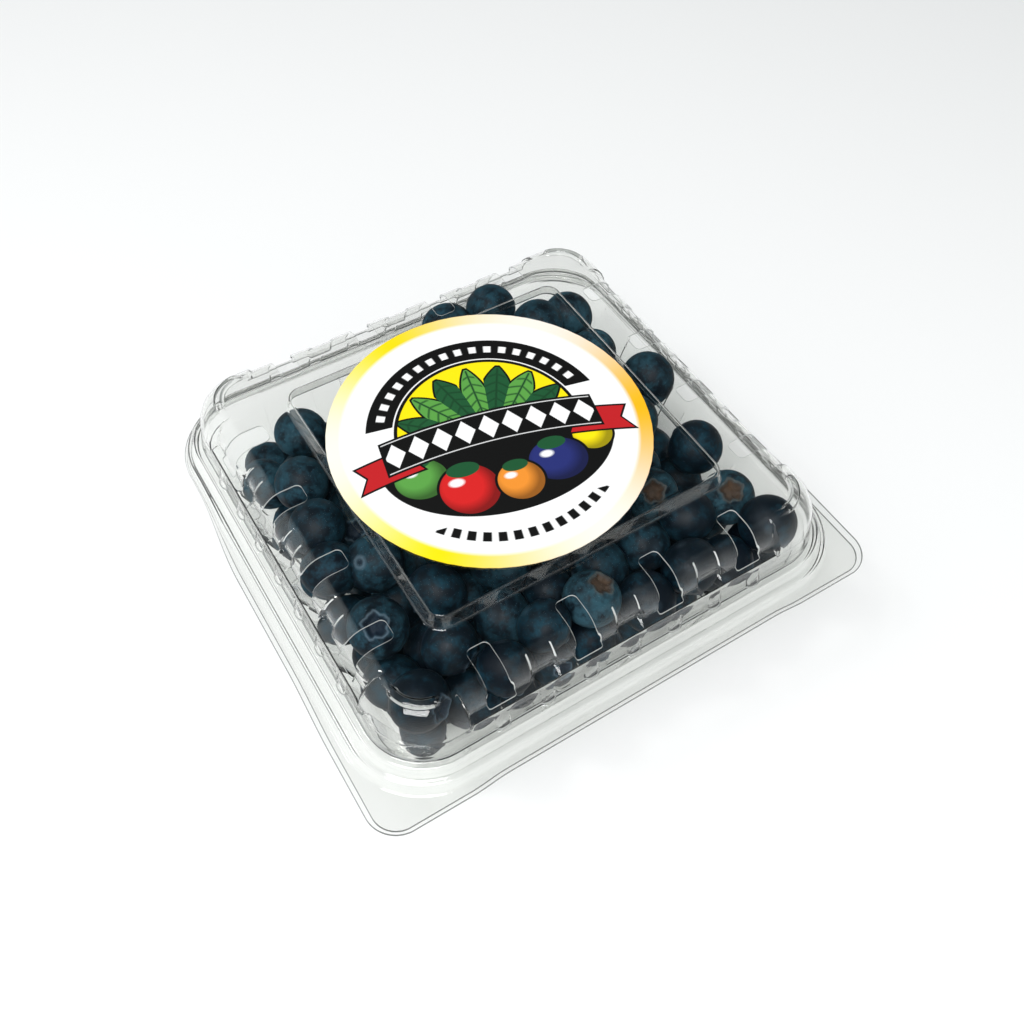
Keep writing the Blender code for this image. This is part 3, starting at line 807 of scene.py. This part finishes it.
# ---- berries ------------------------------------------------------------------------------------
# The berries that show: x, y and height of the centre, radius, and where the crown points (turn in
# plan and tilt above level, in degrees; None where it is turned away).
SHOWN = (
    (-34, 34, 29, 6.5, None, None),
    (-41, 18, 32, 6.5, None, None),
    (-47, 27, 26, 6.0, None, None),
    (-43, 4, 34, 6.5, None, None),
    (-48, 11, 26, 5.5, None, None),
    (-38, -10, 34, 6.5, 15, -50),
    (-35, 4, 26, 6.0, 235, 60),
    (-45, 0, 23, 6.0, None, None),
    (-50, -15, 28, 5.5, None, None),
    (-37, -15, 23, 6.5, None, None),
    (-44, -25, 33, 6.5, 240, 65),
    (-44, -42, 33, 6.5, 300, 20),
    (-38, -45, 22, 6.5, None, None),
    (-29, -23, 33, 6.5, None, None),
    (-27, -45, 30, 6.0, None, None),
    (-32, -35, 32, 6.5, None, None),
    (-2, -41, 33, 6.5, 345, 70),
    (21, -43, 30, 6.5, None, None),
    (9, -46, 30, 6.5, None, None),
    (28, -33, 31, 6.5, None, None),
    (43, -44, 31, 6.5, None, None),
    (42, -32, 28, 6.5, 240, 70),
    (43, -18, 31, 6.5, None, None),
    (28, -22, 26, 6.5, 240, 60),
    (-14, -41, 34, 6.0, None, None),
    (-13, -44, 23, 5.0, 270, 30),
    (32, -46, 25, 6.0, None, None),
    (-20, -47, 22, 6.0, None, None),
    (-7, -47, 23, 6.0, None, None),
    (5, -47, 20, 6.2, None, None),
    (18, -47, 20, 6.2, None, None),
    (44, -45, 19, 6.2, None, None),
    (37, -39, 18, 6.5, None, None),
    (40, -28, 16, 6.5, None, None),
    (33, -9, 21, 6.5, None, None),
    (-48, -24, 20, 6.0, None, None),
    (-46, -35, 22, 6.5, None, None),
    (-44, -42, 22, 5.5, None, None),
    (-48, -9, 17, 5.5, None, None),
    (-18, -32, 28, 6.5, None, None),
    (24, 43, 34, 6.5, None, None),
    (31, 33, 34, 6.5, None, None),
    (42, 35, 29, 6.5, None, None),
    (41, 22, 28, 6.5, None, None),
    (47, 6, 30, 7.0, None, None),
    (35, -4, 29, 6.5, None, None),
    (11, 43, 34, 6.5, None, None),
)
STEM_SHOWN = 5
BERRY_COUNT = 184


def covered_rows():
    """The rest of the top layer, in staggered rows under the label."""
    found = []
    for row in range(-3, 5):
        for col in range(-4, 5):
            x = 13.4 * col + 6.7 * (row % 2) + 0.9 * math.sin(4.1 * row + 2.3 * col)
            y = 11.7 * row + 0.9 * math.sin(2.7 * row - 5.2 * col)
            radius = 6.6 + 0.4 * math.sin(3.3 * row + 4.7 * col)
            height = heap_level(x, y) - radius - 0.6 + 0.5 * math.sin(1.9 * row + 3.1 * col)
            place = (x, y, float(height))
            clear = all(math.dist(place, shown[:3]) > radius + shown[3] - 1.0 for shown in SHOWN)
            if clear and abs(x) < 47 and abs(y) < 44 and height > 21:
                found.append((*place, radius))
    return found


# Height and inner reach of the pack's walls, from the floor up to the lid's flat top.
INSIDE = (
    (0.9, 38.0), (2.2, 41.0), (4.0, 45.2), (23.3, 51.6), (26.3, 53.3), (27.6, 54.0), (29.0, 54.8),
    (34.3, 53.8), (34.5, 51.8), (36.8, 51.0), (38.8, 50.4), (40.0, 49.3), (40.8, 47.0),
)


def heap_level(x, y):
    """Height of the heap before its berries: full to the front left, lower behind and at the right."""
    low_back = np.maximum(0.0, y - 0.62 * x - 24.0) * 0.42
    low_right = np.maximum(0.0, x - 30.0) * 0.30
    return z_of(5.6) - low_back - low_right


def settle(places, radii, held):
    """Pushes overlapping berries apart and into the pack, leaving the held ones nearly still."""
    heights, reaches = np.array(INSIDE).T
    levels = np.linspace(-1, 1, 15)
    give = np.where(held, 0.002, 1.0)
    for step in range(420):
        away = places[:, None] - places[None]
        distance = np.linalg.norm(away, axis=2) + np.eye(len(places)) * 99
        deep = np.maximum(0.0, radii[:, None] + radii[None] - 0.25 - distance)
        share = give[:, None] / (give[:, None] + give[None])
        places = places + 0.62 * ((deep * share / distance)[..., None] * away).sum(axis=1)
        places[:, 2] -= np.where(held, 0.0, 0.05 if step < 300 else 0.0)
        at = places[:, 2, None] + radii[:, None] * levels
        inner = np.interp(at, heights, reaches) - radii[:, None] * np.sqrt(1 - levels**2)
        reach = inner.min(axis=1)
        places[:, 0] = np.clip(places[:, 0], -reach, reach)
        places[:, 1] = np.clip(places[:, 1], -reach + DEPTH_LESS, reach - DEPTH_LESS)
        out_x = np.abs(places[:, 0]) - CORNER_CENTRE
        out_y = np.abs(places[:, 1]) - CORNER_CENTRE + DEPTH_LESS
        corner = np.hypot(np.maximum(out_x, 0), np.maximum(out_y, 0))
        room = np.maximum(reach - CORNER_CENTRE, 0.8)
        pull = np.where((out_x > 0) & (out_y > 0) & (corner > room), room / (corner + 1e-9), 1.0)
        places[:, 0] = np.where(pull < 1, np.sign(places[:, 0]) * (CORNER_CENTRE + out_x * pull), places[:, 0])
        places[:, 1] = np.where(
            pull < 1, np.sign(places[:, 1]) * (CORNER_CENTRE - DEPTH_LESS + out_y * pull), places[:, 1]
        )
        on_panel = (np.abs(places[:, 0]) < 32) & (np.abs(places[:, 1]) < 30)
        low = radii + 0.6 + FLOOR_PANEL_RISE * on_panel
        high = heap_level(places[:, 0], places[:, 1]) - radii
        high = np.where(held, 40.5 - radii, high)
        places[:, 2] = np.clip(places[:, 2], low, np.maximum(high, low))
    return places


def berry_form(sides, rings):
    """Points and faces of one berry of radius 1, crown up, with each point's share of the crown.

    rings are the angles from the crown, in radians."""
    turn = np.arange(sides) * FULL_TURN / sides
    points, crowns = [], []
    for ring in rings:
        lip = 0.41 * (1 + 0.11 * np.cos(5 * turn) + 0.05 * np.cos(9 * turn + 1.3) + 0.03 * np.cos(14 * turn))
        inside = (lip - ring) / 0.16
        lobes = 0.5 + 0.4 * np.cos(5 * turn) + 0.1 * np.cos(11 * turn + 0.7)
        size = (
            1.0
            - 0.19 * ease(inside)
            + 0.075 * (0.3 + 0.7 * lobes) * np.exp(-(((ring - lip - 0.01) / 0.055) ** 2))
            - 0.03 * math.exp(-(((math.pi - ring) / 0.13) ** 2))
        )
        points.append(
            np.stack(
                [size * math.sin(ring) * np.cos(turn), size * math.sin(ring) * np.sin(turn), size * math.cos(ring)],
                axis=1,
            )
        )
        crowns.append(ease((lip + 0.10 - ring) / 0.22))
    crowns[-1] = crowns[-1] + 0.5
    points = np.concatenate(points + [[[0, 0, 0.84], [0, 0, -0.95]]])
    crowns = np.concatenate(crowns + [[1.0, 1.0]])
    faces = []
    top, bottom = len(points) - 2, len(points) - 1
    last = (len(rings) - 1) * sides
    for i in range(sides):
        j = (i + 1) % sides
        faces.append([top, i, j])
        faces.append([bottom, last + j, last + i])
        for k in range(len(rings) - 1):
            a = k * sides
            faces.append([a + i, a + sides + i, a + sides + j, a + j])
    return points, crowns, faces


def turned_to(direction, spin):
    """Matrix that takes the crown's axis to a direction, after a spin about it."""
    w = direction / np.linalg.norm(direction)
    u = np.cross(w, (0.3, 0.1, 0.95) if abs(w[2]) < 0.8 else (1.0, 0.2, 0.1))
    u /= np.linalg.norm(u)
    v = np.cross(w, u)
    c, s = math.cos(spin), math.sin(spin)
    return np.stack([c * u + s * v, c * v - s * u, w], axis=1)


def build_berries(finish):
    rng = np.random.default_rng(11)
    top_layer = np.array([entry[:4] for entry in SHOWN] + covered_rows())
    extra = BERRY_COUNT - len(top_layer)
    places = np.stack(
        [rng.uniform(-44, 44, extra), rng.uniform(-42, 42, extra), rng.uniform(7, 28, extra)], axis=1
    )
    places[:, 2] = np.minimum(places[:, 2], heap_level(places[:, 0], places[:, 1]) - 15)
    radii = np.concatenate([top_layer[:, 3], rng.uniform(5.7, 7.2, extra)])
    places = np.concatenate([top_layer[:, :3], places])
    held = np.arange(BERRY_COUNT) < len(top_layer)
    places = settle(places, radii, held)
    near = np.array([0.06, 0.13, 0.19, 0.24, 0.28, 0.32, 0.36, 0.40, 0.44, 0.49, 0.56, 0.66])
    fine = berry_form(34, np.concatenate([near, np.linspace(0.8, 2.98, 17)]))
    plain = berry_form(20, np.concatenate([near[1::3], np.linspace(0.75, 2.9, 11)]))
    points, faces, crowns, tones = [], [], [], []
    base = 0
    for k in range(BERRY_COUNT):
        top = places[k, 2] > heap_level(places[k, 0], places[k, 1]) - 2.2 * radii[k]
        form, crown, own_faces = fine if k < len(SHOWN) else plain
        if k < len(SHOWN) and SHOWN[k][4] is not None:
            turn, tilt = math.radians(SHOWN[k][4]), math.radians(SHOWN[k][5])
            way = np.array([math.cos(tilt) * math.cos(turn), math.cos(tilt) * math.sin(turn), math.sin(tilt)])
        else:
            way = rng.normal(size=3)
            if held[k] or top:
                way[2] = -abs(way[2]) - 0.2
        body = form * (1.0, 1.0, rng.uniform(0.86, 0.96))
        body = body * (1.0, rng.uniform(0.95, 1.0), 1.0)
        lump = rng.normal(size=3)
        lump /= np.linalg.norm(lump)
        body = body * (1 + 0.018 * np.sin(2.6 * (form @ lump) + k))[:, None]
        placed = radii[k] * body @ turned_to(way, rng.uniform(0, FULL_TURN)).T + places[k]
        points.append(placed)
        faces += [[base + i for i in face] for face in own_faces]
        # only one berry shows a plain ring where its stem was
        crowns.append(crown * np.where((form[:, 2] < -0.5) & (k != STEM_SHOWN), 0.16, 1.0))
        browned = k < len(SHOWN) and SHOWN[k][4] is not None and SHOWN[k][0] > -10
        # paler towards the back, darker in the front row and darkest at its right, with a random share
        berry_paleness = 0.12 + 0.004 * places[k, 1] + rng.uniform(-0.15, 0.2)
        berry_paleness -= (0.12 + 0.18 * (places[k, 0] > 5)) * (places[k, 1] < -36)
        tones.append(np.full(len(form), 0.95 if browned else np.clip(berry_paleness, -0.4, 0.6)))
        base += len(form)
    points = np.concatenate(points)
    points[:, 1] += CENTRE_Y
    berries = mesh_object("loose_berries", points, faces, [finish], 70)
    for name, values in (("crown", crowns), ("tone", tones)):
        layer = berries.data.attributes.new(name, "FLOAT", "POINT")
        layer.data.foreach_set("value", np.concatenate(values).astype(np.float32))
    return berries


def build_core(finish):
    """The heap's core, under the berries that show, in a near black finish: painted shade for the deep gaps between
    them.
    """
    rings, sides = 14, 36
    points, faces = [], []
    for k in range(rings + 1):
        rise = math.pi * k / rings
        for i in range(sides):
            turn = FULL_TURN * i / sides
            c, s = math.cos(turn), math.sin(turn)
            square = (c**4 + s**4) ** -0.25
            lump = 1 + 0.05 * math.sin(5 * turn + 2 * k) + 0.04 * math.sin(9 * turn - k)
            flat = max(math.sin(rise), 1e-3) ** 0.35
            reach = 34.0 * square * flat * lump
            height = 14.0 + 9.0 * math.copysign(abs(math.cos(rise)) ** 0.6, math.cos(rise))
            drop = 0.10 * max(0.0, reach * s - 0.62 * reach * c - 10.0)
            points.append((reach * c, reach * s + CENTRE_Y, height - drop * (height > 12)))
    for k in range(rings):
        for i in range(sides):
            j = (i + 1) % sides
            a, b = k * sides, (k + 1) * sides
            faces.append([a + i, b + i, b + j, a + j])
    faces.append([i for i in range(sides)])
    faces.append([rings * sides + i for i in range(sides)][::-1])
    return mesh_object("heap_core", points, faces, [finish], 60)


def berry_skin():
    """Navy skin under a patchy waxy bloom, with a browned or frosted crown."""
    finish = Finish("berry_skin")
    where = finish.place()
    crown = finish.attribute("crown")
    tone = finish.attribute("tone")
    cloudy = finish.noise(150.0, 4.0, 0.6, where)
    patches = finish.noise(420.0, 3.0, 0.55, where)
    specks = finish.noise(1500.0, 2.0, 0.6, where)
    paleness = tone.least(0.45)
    bloom = ((cloudy - 0.44) * 2.6 + (patches - 0.5) * 2.6 + (specks - 0.5) * 1.3 + paleness * 0.8).clamped()
    skin = finish.mix(tone, (0.001, 0.004, 0.008), (0.002, 0.005, 0.009))
    frosted = finish.mix(paleness, (0.006, 0.034, 0.054), (0.044, 0.108, 0.142))
    colour = finish.mix(bloom, skin, frosted)
    lip = ((1 - abs(crown - 0.45) * 2.4) * (0.35 + patches * 1.1)).clamped()
    dish = ((crown - 0.55) * 3.0).clamped()
    browned = (tone * 4.0 - 2.2).clamped()
    colour = finish.mix(lip * 0.7, colour, finish.mix(browned, (0.085, 0.13, 0.17), (0.085, 0.080, 0.070)))
    ragged = dish * (0.45 + patches * 0.8)
    colour = finish.mix(ragged.clamped(), colour, finish.mix(browned, (0.006, 0.012, 0.022), (0.060, 0.036, 0.022)))
    rough = 0.52 + bloom * 0.3
    height = patches * 0.5 + specks * 0.5
    bump = finish.add("Bump", {}, {"Strength": 0.5, "Distance": 0.00005, "Height": height})
    shader = finish.add(
        "BsdfPrincipled", {}, {"Base Color": colour, "Roughness": rough, "IOR": 1.42, "Specular IOR Level": 0.18, "Normal": bump}
    )
    return finish.done(shader)


def heap_painted_shade():
    finish = Finish("heap_painted_shade")
    # near black, mottled: painted shade for the heap's depths
    cloudy = finish.noise(200.0, 2.0, 0.5, finish.place())
    colour = finish.mix(cloudy, (0.004, 0.006, 0.012), (0.014, 0.020, 0.034))
    return finish.done(finish.add("BsdfPrincipled", {}, {"Base Color": colour, "Roughness": 0.8}))


def build_stage():
    finish = Finish("pale_floor")
    shader = finish.add("BsdfPrincipled", {}, {"Base Color": (0.9, 0.9, 0.9), "Roughness": 0.7, "Specular IOR Level": 0.1})
    floor = mesh_object(
        "floor", [(-2500, -2500, 0), (2500, -2500, 0), (2500, 2500, 0), (-2500, 2500, 0)], [(0, 1, 2, 3)], [finish.done(shader)]
    )


def area_light(name, place, aim, size, power, colour=(1, 1, 1)):
    data = bpy.data.lights.new(name, "AREA")
    data.shape = "RECTANGLE"
    data.size, data.size_y = size
    data.energy = power
    data.color = colour
    made = bpy.data.objects.new(name, data)
    bpy.context.scene.collection.objects.link(made)
    made.location = place
    facing = np.array(place, float) - np.array(aim, float)
    made.rotation_euler = (
        math.atan2(math.hypot(facing[0], facing[1]), facing[2]),
        0,
        math.atan2(facing[0], -facing[1]) ,
    )
    return made


def build_light():
    world = bpy.data.worlds.new("studio")
    bpy.context.scene.world = world
    finish = Finish("studio", world)
    direction = finish.add("TexCoord", {}, {}, "Generated")
    toward = [finish.add("SeparateXYZ", {}, {0: direction}, i) for i in range(3)]
    walls = finish.add(
        "ValToRGB",
        {"stops": [(0.0, (0.85, 0.86, 0.85)), (0.35, (0.55, 0.56, 0.55)), (0.7, (0.19, 0.21, 0.215)), (1.0, (0.17, 0.195, 0.205))]},
        {0: toward[2]},
    )
    # a black card stands high behind the pack
    card = toward[0] * 0.325 + toward[1] * 0.481 + toward[2] * 0.814
    walls = finish.mix(((card - 0.74) * 8.0).clamped(), walls, (0.012, 0.020, 0.023))
    # and a pale one at its left
    pale = toward[1] * 0.55 + toward[2] * 0.45 - toward[0] * 0.70
    walls = finish.mix(((pale - 0.78) * 6.0).clamped(), walls, (0.95, 1.0, 1.0))
    # seen directly, the room is plain and pale
    seen = finish.add("LightPath", {}, {}, "Is Camera Ray")
    walls = finish.mix(seen, walls, (0.86, 0.87, 0.86))
    glow = finish.add("Background", {}, {"Color": walls, "Strength": 1.0})
    finish.add("OutputWorld", {}, {"Surface": glow})
    area_light("softbox", (-0.42, -0.40, 1.05), (0.05, 0.1, 0), (0.7, 0.7), 14.5)
    area_light("key", (-0.55, 0.35, 0.9), (0, 0, 0), (0.12, 0.12), 1.2)


def build_camera():
    data = bpy.data.cameras.new("camera")
    data.sensor_width = 36.0
    data.lens = 36.787
    data.clip_start = 0.01
    made = bpy.data.objects.new("camera", data)
    bpy.context.scene.collection.objects.link(made)
    turn, height, roll = math.radians(-34.03), math.radians(54.49), math.radians(-2.60)
    back = np.array([math.sin(turn) * math.cos(height), -math.cos(turn) * math.cos(height), math.sin(height)])
    side = np.cross(-back, (0, 0, 1))
    side /= np.linalg.norm(side)
    up = np.cross(back, side)
    right = math.cos(roll) * side - math.sin(roll) * up
    above = math.sin(roll) * side + math.cos(roll) * up
    made.location = (-0.07955, -0.12250, 0.22095)
    made.rotation_euler = Matrix(np.stack([right, above, back], axis=1).tolist()).to_euler()
    bpy.context.scene.camera = made


def main():
    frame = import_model()
    scene = bpy.context.scene
    scene.view_settings.view_transform = "Standard"
    build_camera()
    build_light()
    build_stage()
    # painted lines: light grey on slot rims, crescents and pad steps is painted highlight over dark fruit and painted
    # shade over the floor; dark grey on flange rims and the ring wall's foot is painted shade
    edges = [painted_edge_line("slot_edge_painted_sheen", 0.55), painted_edge_line("flange_edge_painted_shade", 0.16), painted_edge_line("ring_crease_painted_shade", 0.34)]
    lid = build_lid([clear_sheet("clear_sheet_lid", (0.979, 0.983, 0.971)), *edges])
    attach(lid, "lid")
    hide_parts("lid")
    tub = build_tub([clear_sheet("clear_sheet_tub", (0.979, 0.983, 0.971)), *edges])
    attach(tub, "base")
    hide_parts("base_tub")
    for heap in (build_berries(berry_skin()), build_core(heap_painted_shade())):
        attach(heap, "base")
        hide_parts("berries")
    label = frame["nodes"]["label"]
    label.data.materials.clear()
    label.data.materials.append(label_print())


main()
